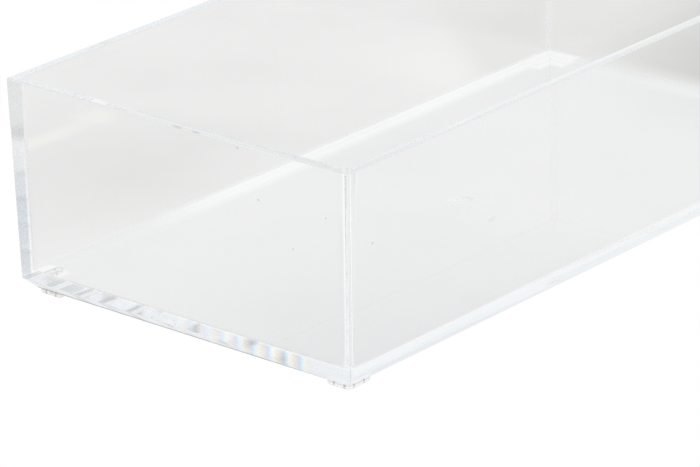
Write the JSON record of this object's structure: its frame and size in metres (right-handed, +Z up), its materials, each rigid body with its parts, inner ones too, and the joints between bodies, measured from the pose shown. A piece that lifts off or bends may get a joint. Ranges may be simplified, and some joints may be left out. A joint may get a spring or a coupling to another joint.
{
  "type": "storage tray",
  "caption": "Open clear plastic storage tray for a drawer: leaning walls, chamfered base and small L-shaped corner feet for stacking.",
  "frame": {"origin": "on the surface that the tray stands on, under the middle of the tray", "axes": "+Z up out of the open top, +Y along the long sides towards the far end, +X across the short way"},
  "size_m": [0.1016, 0.201, 0.0529],
  "materials": {
    "clear_body": "water-clear, polished",
    "clear_feet": "water-clear, polished"
  },
  "bodies": {
    "root": {"tray_body": "clear_body", "foot_front_left": "clear_feet", "foot_front_right": "clear_feet", "foot_back_left": "clear_feet", "foot_back_right": "clear_feet"}
  },
  "joints": []
}
